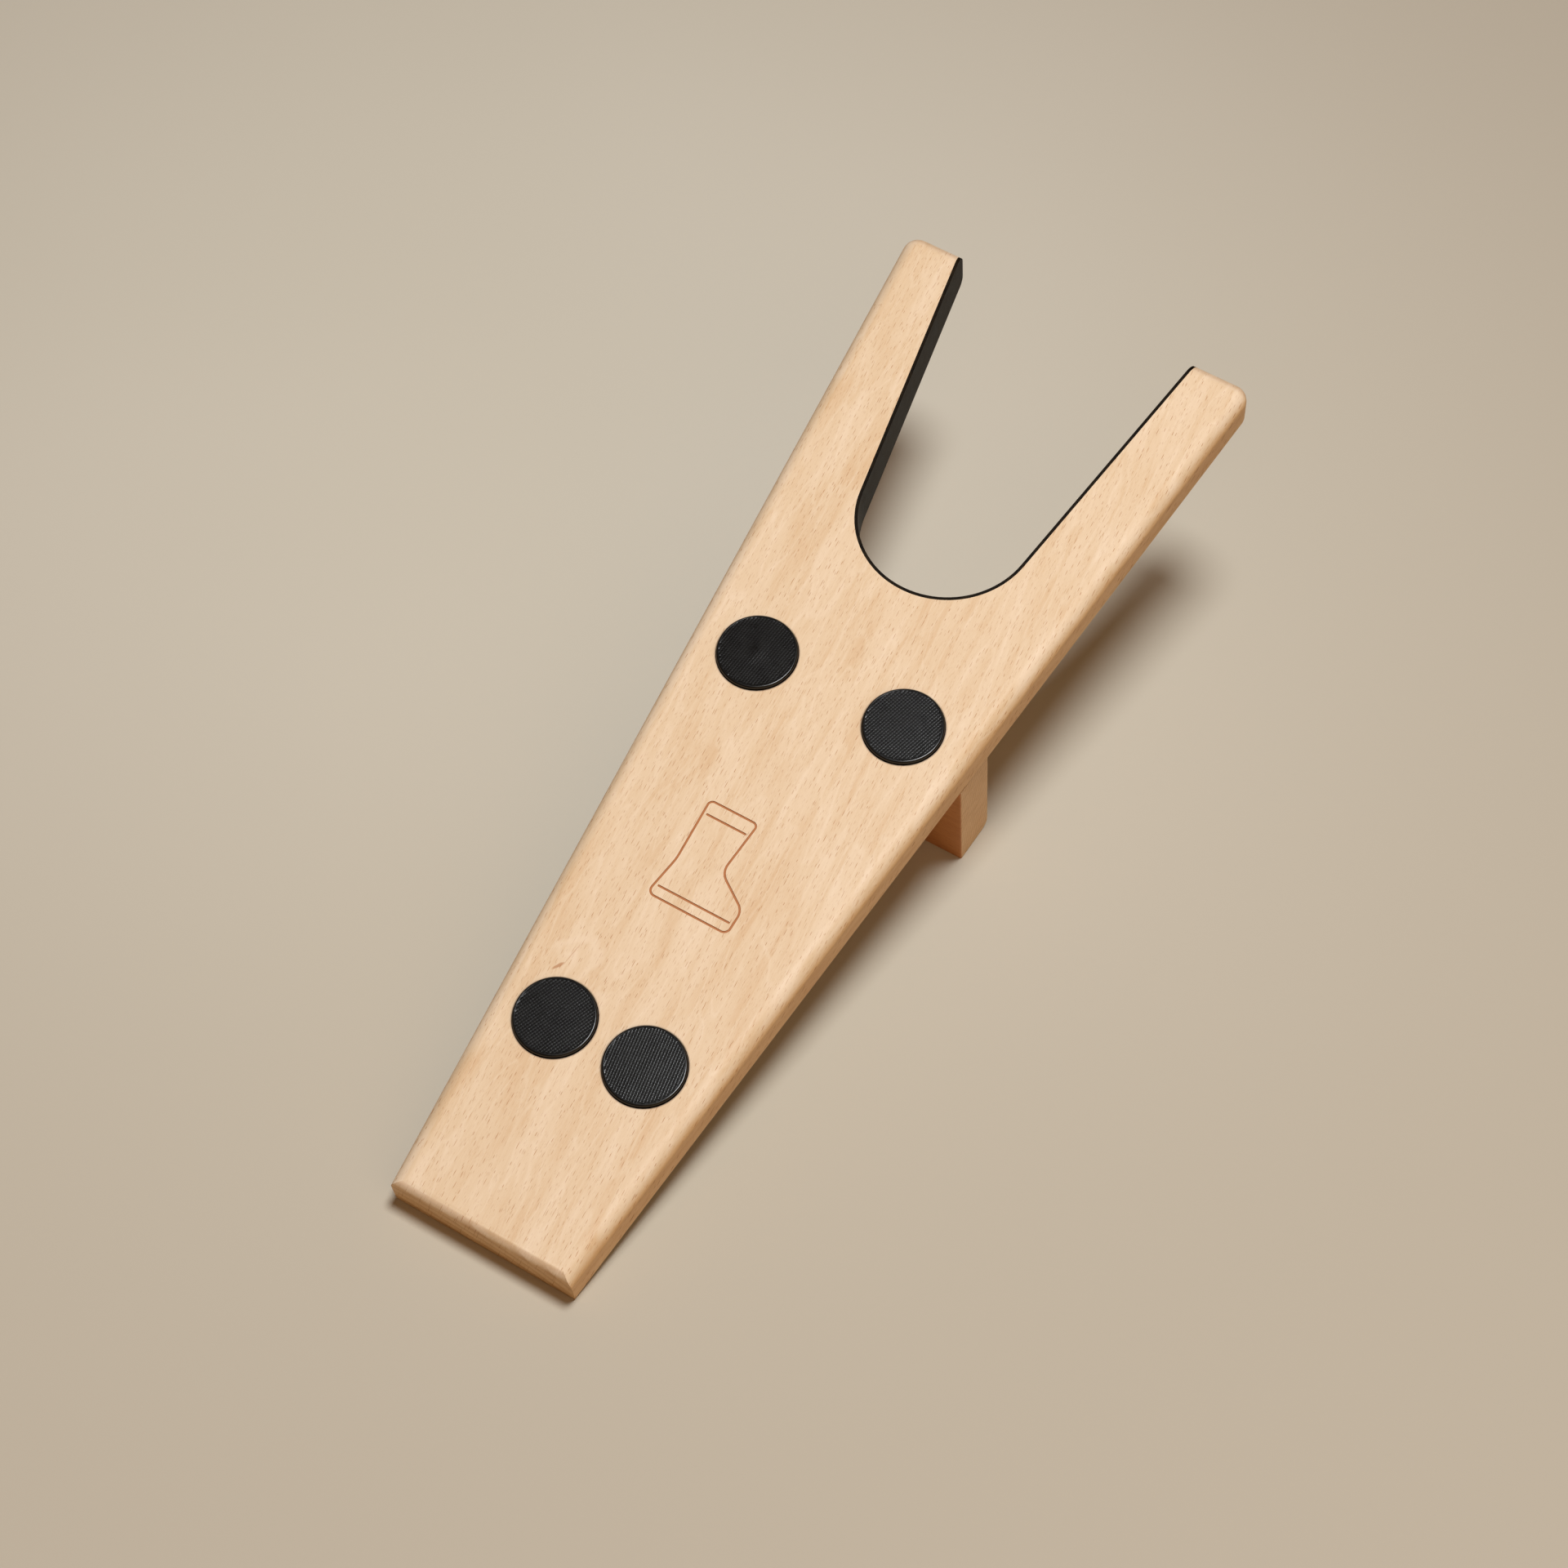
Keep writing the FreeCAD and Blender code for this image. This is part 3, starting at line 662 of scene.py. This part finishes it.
def revolve(profile: np.ndarray, steps: int) -> tuple[np.ndarray, np.ndarray]:
    """Closed solid of revolution about Z.

    Point (i, j) is (r_i cos a_j, r_i sin a_j, z_i), where a_j is j equal steps of a full
    turn; each end of the profile lies on the axis and is one shared point.

    Args:
        profile: Rows of radius and height, from the bottom of the axis to its top.
        steps: Points round the axis.

    Returns:
        Points, and faces that point outwards.
    """
    angle = np.arange(steps) * 2 * np.pi / steps
    inner = profile[1:-1]
    ring = np.stack(
        [np.outer(inner[:, 0], np.cos(angle)), np.outer(inner[:, 0], np.sin(angle))]
        + [np.repeat(inner[:, 1:], steps, axis=1)],
        axis=-1,
    ).reshape(-1, 3)
    bottom, top = len(ring), len(ring) + 1
    points = np.vstack([ring, [0, 0, profile[0, 1]], [0, 0, profile[-1, 1]]])
    here = np.arange(steps)
    following = (here + 1) % steps
    row = np.arange(len(inner) - 1)[:, None] * steps
    walls = np.stack([row + here, row + following, row + steps + following, row + steps + here], axis=-1)
    last = (len(inner) - 1) * steps
    floor = np.stack([following, here, np.full(steps, bottom), np.full(steps, bottom)], axis=-1)
    roof = np.stack([last + here, last + following, np.full(steps, top), np.full(steps, top)], axis=-1)
    return points, np.vstack([walls.reshape(-1, 4), floor, roof])


def arc(centre: tuple[float, float], radius: float, start: float, end: float, count: int) -> np.ndarray:
    """Points on a circle's arc: centre plus radius times the cosine and sine of the angle."""
    angle = np.radians(np.linspace(start, end, count))
    return np.array(centre) + radius * np.stack([np.cos(angle), np.sin(angle)], axis=-1)


@dataclass
class GripDisc:
    """Moulded rubber disc with a rounded rim and a sheet of small staggered pits."""

    disc: Disc
    shoulder: float = 0.55 * MM
    rim: float = 0.16 * MM
    dish: float = 0.24 * MM
    pitch: float = 0.86 * MM
    pit_depth: float = 0.26 * MM
    ridge: float = 0.05 * MM
    lip: float = 0.1 * MM
    foot: float = 0.2 * MM
    gap: float = 0.03 * MM
    pit_mouth: float = 0.40
    pit_foot: float = 0.17
    reach_short: float = 0.12
    mound: float = 2.6 * MM
    steps: int = 144

    def blank(self, seat: DiscSeat) -> tuple[np.ndarray, np.ndarray]:
        """Body of the disc: foot, wall, shoulder arc, flat rim and a shallow dish."""
        brim, low, top = seat.radius, seat.foot, seat.top
        inside = brim - self.shoulder - self.rim
        shoulder = arc((brim - self.shoulder, top - self.shoulder), self.shoulder, 0, 90, 9)
        lip = arc((inside + self.lip, top - self.lip), self.lip, 90, 180, 5)
        foot = arc((brim - self.foot, low + self.foot), self.foot, -90, 0, 4)
        field = [[inside, top - self.dish], [inside * 0.5, top - self.dish], [0, top - self.dish]]
        profile = np.vstack([[[0, low]], [[brim * 0.5, low]], foot, shoulder, lip, field])
        return revolve(profile, self.steps)

    def cells(self, reach: float) -> np.ndarray:
        """Middles of the square cells of a lattice whose middles lie inside a circle."""
        count = math.ceil(reach / self.pitch) + 1
        grid = np.arange(-count, count + 1) * self.pitch
        across, along = (part.ravel() for part in np.meshgrid(grid, grid))
        inside = np.hypot(across, along) < reach
        return np.stack([across, along], axis=-1)[inside]

    def pits(self, seat: DiscSeat) -> tuple[np.ndarray, np.ndarray]:
        """Sheet of square cells, each with an eight-sided pit, closed below.

        A cell has corners at plus and minus half the pitch, a rim of eight points on a
        circle, and a smaller circle at the pit's depth. Corners that meet are merged, points
        outside the field are drawn in to its edge, and edges with one face are carried down
        to the underside.
        """
        top = seat.top - self.ridge
        field = seat.radius - self.shoulder - self.rim - self.gap
        middles = self.cells(field - self.reach_short * self.pitch)
        octagon = arc((0, 0), 1.0, 22.5, 337.5, 8)
        corner = arc((0, 0), self.pitch / math.sqrt(2), 45, 315, 4)
        under = seat.top - self.dish - self.lip
        rim, foot = octagon * self.pitch * self.pit_mouth, octagon * self.pitch * self.pit_foot
        flat = np.vstack([corner, rim, foot, [[0, 0]]])
        height = np.array([top] * 12 + [top - self.pit_depth] * 9)
        height[4:12] -= 0.02 * MM
        cell = np.column_stack([flat, height])
        eight = np.arange(8)
        after = (eight + 1) % 8
        walls = np.stack([4 + eight, 4 + after, 12 + after, 12 + eight], axis=-1)
        base = np.stack([12 + eight, 12 + after, np.full(8, 20), np.full(8, 20)], axis=-1)
        four = np.arange(4)
        nearer = (2 * four + 7) % 8
        flats = np.stack([four, 4 + 2 * four, 4 + nearer, 4 + nearer], axis=-1)
        sides = np.stack([four, (four + 1) % 4, 4 + (2 * four + 1) % 8, 4 + 2 * four], axis=-1)
        faces = np.vstack([walls, base, flats, sides])
        points = (cell + np.pad(middles, ((0, 0), (0, 1)))[:, None, :]).reshape(-1, 3)
        every = (faces + (np.arange(len(middles)) * len(cell))[:, None, None]).reshape(-1, 4)
        _, first, lookup = np.unique(
            np.round(points / MM, 3), axis=0, return_index=True, return_inverse=True
        )
        points, every = points[first], lookup.reshape(-1)[every]
        spread = np.hypot(points[:, 0], points[:, 1])
        points[:, :2] *= np.minimum(1, field / np.maximum(spread, field / 2))[:, None]
        return self.closed_below(points, every, under)

    @staticmethod
    def closed_below(points: np.ndarray, faces: np.ndarray, under: float) -> tuple[np.ndarray, np.ndarray]:
        """Give a sheet a flat underside.

        Args:
            points: Corners of the sheet.
            faces: Faces of the sheet, facing up.
            under: Height of the underside.

        Returns:
            Points and faces of the closed slab.
        """
        count = len(points)
        below = points.copy()
        below[:, 2] = under
        edges = np.vstack([faces[:, [k, (k + 1) % 4]] for k in range(4)])
        edges = edges[edges[:, 0] != edges[:, 1]]
        _, where, uses = np.unique(np.sort(edges, axis=1), axis=0, return_index=True, return_counts=True)
        border = edges[where[uses == 1]]
        skirt = np.column_stack([border[:, 1], border[:, 0], border[:, 0] + count, border[:, 1] + count])
        lower = faces[:, ::-1] + count
        swapped = lower[:, 0] == lower[:, 1]
        lower[swapped] = lower[swapped][:, [1, 2, 3, 3]]
        return np.vstack([points, below]), np.vstack([faces, skirt, lower])

    def build(self) -> bpy.types.Object:
        """Build the disc in the board's frame and lay it in its recess."""
        node, turn, swelling = self.disc.value
        seat = DiscSeat.of(node)
        blank, blank_faces = self.blank(seat)
        sheet, sheet_faces = self.pits(seat)
        points = np.vstack([blank, sheet])
        faces = np.vstack([blank_faces, sheet_faces + len(blank)])
        spread = np.hypot(points[:, 0], points[:, 1]) / self.mound
        upper = points[:, 2] > seat.top - 1.5 * self.dish
        points[:, 2] += np.where(upper, swelling * MM * np.exp(-(spread**2)), 0)
        angle = math.radians(turn)
        spin = np.array([[math.cos(angle), math.sin(angle)], [-math.sin(angle), math.cos(angle)]])
        points[:, :2] = points[:, :2] @ spin + np.array(seat.centre)
        piece = new_piece(node.replace("grip_disc", "knurled_disc"), BOARD.lay(points), faces)
        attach(piece, ROOT)
        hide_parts(node)
        return piece

    def dress(self, piece: bpy.types.Object, finish: bpy.types.Material) -> None:
        """Give the disc its rubber."""
        piece.data.materials.append(finish)


@dataclass
class TimberBoard:
    """The board in its CAD shape, with its corners joined and its shading evened.

    The broad faces shade flat, the rounded edges shade smooth, and an edge that turns by
    more than the crease stays crisp.
    """

    node: str = "board"
    crease: float = 18.0
    weld: float = 0.001 * MM

    def build(self) -> bpy.types.Object:
        """Copy the node's triangles into one joined shell."""
        mesh = frame["nodes"][self.node].data
        corners = np.empty(3 * len(mesh.vertices), dtype=np.float32)
        mesh.vertices.foreach_get("co", corners)
        corners = corners.reshape(-1, 3).astype(float)
        mesh.calc_loop_triangles()
        rows = np.empty(3 * len(mesh.loop_triangles), dtype=np.int32)
        mesh.loop_triangles.foreach_get("vertices", rows)
        _, first, lookup = np.unique(
            np.round(corners / self.weld), axis=0, return_index=True, return_inverse=True
        )
        rows = lookup.reshape(-1)[rows.reshape(-1, 3)]
        whole = (rows != np.roll(rows, 1, axis=1)).all(axis=1)
        faces = np.column_stack([rows, rows[:, 2]])[whole]
        piece = new_piece("beech_board", corners[first], faces, self.crease)
        even = piece.modifiers.new("even_shading", "WEIGHTED_NORMAL")
        even.keep_sharp = True
        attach(piece, ROOT)
        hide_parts(self.node)
        return piece

    def dress(self, piece: bpy.types.Object, finish: bpy.types.Material) -> None:
        """Give the board its beech."""
        piece.data.materials.append(finish)


@dataclass
class CadPiece:
    """A CAD node that keeps its shape and gets a finish."""

    node: str

    def dress(self, finish: bpy.types.Material) -> None:
        """Put a finish in each of the node's material slots."""
        for slot in frame["nodes"][self.node].material_slots:
            slot.material = finish


@dataclass
class Studio:
    """Plain floor, soft light and the camera."""

    aim: tuple[float, float, float] = (-0.0002, -0.0062, 0.04)
    azimuth: float = 25.0
    elevation: float = 52.1
    distance: float = 1.0383
    roll: float = 7.11
    lens_mm: float = 80.65
    floor_half: float = 6.0

    def floor(self, finish: bpy.types.Material) -> bpy.types.Object:
        """Square sheet of paper under the jack, on the plane of the CAD box's lowest point."""
        low = CAD_BOX[0].z
        half = self.floor_half
        corners = np.array([(-half, -half, low), (half, -half, low), (half, half, low), (-half, half, low)])
        sheet = new_piece("backdrop_floor", corners, np.array([[0, 1, 2, 3]]))
        sheet.data.materials.append(finish)
        return sheet

    def lamp(self, name: str, place: Vector, power: float, size: float, colour: Colour) -> None:
        """Round soft light that points at the jack.

        Args:
            name: Name of the light.
            place: Middle of the light.
            power: Power in watts.
            size: Diameter of the light.
            colour: Colour of the light.
        """
        data = bpy.data.lights.new(name, "AREA")
        data.shape = "DISK"
        data.size = size
        data.energy = power
        data.color = colour[:3]
        light = bpy.data.objects.new(name, data)
        light.location = place
        light.rotation_euler = (Vector(self.aim) - place).to_track_quat("-Z", "Y").to_euler()
        bpy.context.scene.collection.objects.link(light)

    def lights(self) -> None:
        """Overhead soft box, weak warm fill from the front, and warm even air."""
        self.lamp("soft_box", Vector((0.14, -0.03, 1.9)), 35.0, 0.6, (0.96, 0.98, 1.0, 1.0))
        self.lamp("side_fill", Vector((1.15, -0.95, 1.35)), 9.8, 2.1, (1.0, 0.72, 0.46, 1.0))
        world = bpy.data.worlds.new("studio_air")
        world.use_nodes = True
        background = world.node_tree.nodes["Background"]
        background.inputs["Color"].default_value = (1.0, 0.36, 0.08, 1.0)
        background.inputs["Strength"].default_value = 0.08
        bpy.context.scene.world = world

    def camera(self) -> None:
        """Camera on a sphere round the aim, rolled about its own axis."""
        turn, lift = math.radians(self.azimuth), math.radians(self.elevation)
        back = Vector((math.sin(turn) * math.cos(lift), -math.cos(turn) * math.cos(lift), math.sin(lift)))
        data = bpy.data.cameras.new("camera")
        data.lens = self.lens_mm
        data.sensor_width = 36.0
        camera = bpy.data.objects.new("camera", data)
        camera.location = Vector(self.aim) + back * self.distance
        camera.rotation_mode = "QUATERNION"
        roll = Quaternion((0, 0, 1), math.radians(self.roll))
        camera.rotation_quaternion = (-back).to_track_quat("-Z", "Y") @ roll
        bpy.context.scene.collection.objects.link(camera)
        bpy.context.scene.camera = camera


def main() -> None:
    """Dress the CAD nodes, build the discs, and set the studio."""
    logging.basicConfig(level=logging.INFO, format="%(name)s: %(message)s")
    studio = Studio()
    studio.camera()
    bpy.context.scene.view_settings.view_transform = "Standard"

    timber = TimberBoard()
    board = timber.build()
    timber.dress(board, SolidBeech("board_beech", Sawn.BOARD, scorched=True).make())
    log.info("built %s, %d faces", board.name, len(board.data.polygons))

    finishes = {
        # The block's long faces carry a deeper painted shade tint.
        "support_block": SolidBeech(
            "block_beech", Sawn.BLOCK, shaded_side_tint=shade(232, 178, 128), pith_mm=900.0, ring_mm=1.7
        ).make(),
        "fork_liner": Rubber("liner_sheet", shade(14, 9, 4), shade(32, 24, 12), 0.5, 0.02, 0.05).make(),
    }
    steel = ZincSteel("zinc_steel").make()
    finishes |= {"block_screw_left": steel, "block_screw_right": steel}
    for node, finish in finishes.items():
        CadPiece(node).dress(finish)
        log.info("dressed %s", node)

    face_mm = DiscSeat.of(Disc.TOE_LEFT.value[0]).top / MM
    disc_rubber = Rubber(
        "disc_moulding", shade(11, 11, 10), shade(17, 17, 15), 0.3, 0.006, 0.18, face_mm, 0.32
    ).make()
    for disc in Disc:
        maker = GripDisc(disc)
        piece = maker.build()
        maker.dress(piece, disc_rubber)
        log.info("built %s, %d faces", piece.name, len(piece.data.polygons))

    studio.floor(Paper().make())
    studio.lights()


if __name__ == "__main__":
    main()
